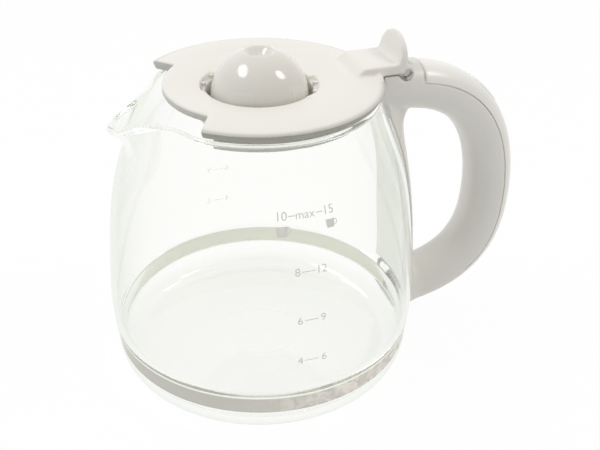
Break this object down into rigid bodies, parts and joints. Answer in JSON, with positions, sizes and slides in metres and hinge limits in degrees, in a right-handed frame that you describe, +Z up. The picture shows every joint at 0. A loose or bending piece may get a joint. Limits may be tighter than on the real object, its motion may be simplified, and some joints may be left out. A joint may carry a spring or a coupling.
{
  "type": "coffee server carafe",
  "caption": "Glass coffee server with a pulled spout, a steel clamp band, a two-shell plastic handle and a hinged lid with a thumb tab.",
  "frame": {"origin": "on the jug's axis, in the plane that the jug stands on", "axes": "+X from the jug's axis towards the handle, -X towards the spout, +Z up"},
  "size_m": [0.1919, 0.1368, 0.1463],
  "materials": {
    "clear_glass": "polished clear glass",
    "band_steel": "polished stainless strip",
    "screw_steel": "plated",
    "shell_plastic": "fine satin texture",
    "cover_plastic": "glossy warm white",
    "lid_plastic": "satin warm white",
    "dome_plastic": "glossy warm white",
    "badge_plate": "satin, bare",
    "soft_pad": "translucent grey",
    "scale_ink": "grey ink fired on the glass"
  },
  "bodies": {
    "root": {"glass_jug": "clear_glass", "clamp_band": "band_steel", "clamp_screw": "screw_steel", "clamp_nut": "screw_steel", "handle_body": "shell_plastic", "handle_cover": "cover_plastic", "cover_screws": "screw_steel", "handle_badge": "badge_plate", "spine_pad": "soft_pad", "hook_sleeve": "soft_pad", "hinge_pin": "screw_steel"},
    "lid": {"lid_shell": "lid_plastic", "lid_dome": "dome_plastic"}
  },
  "joints": [
    {"name": "lid_hinge", "type": "hinge", "parent": "root", "child": "lid", "pos_m": [0.0615, 0, 0.131], "axis": [0, 1, 0], "range_deg": [0, 75]}
  ]
}
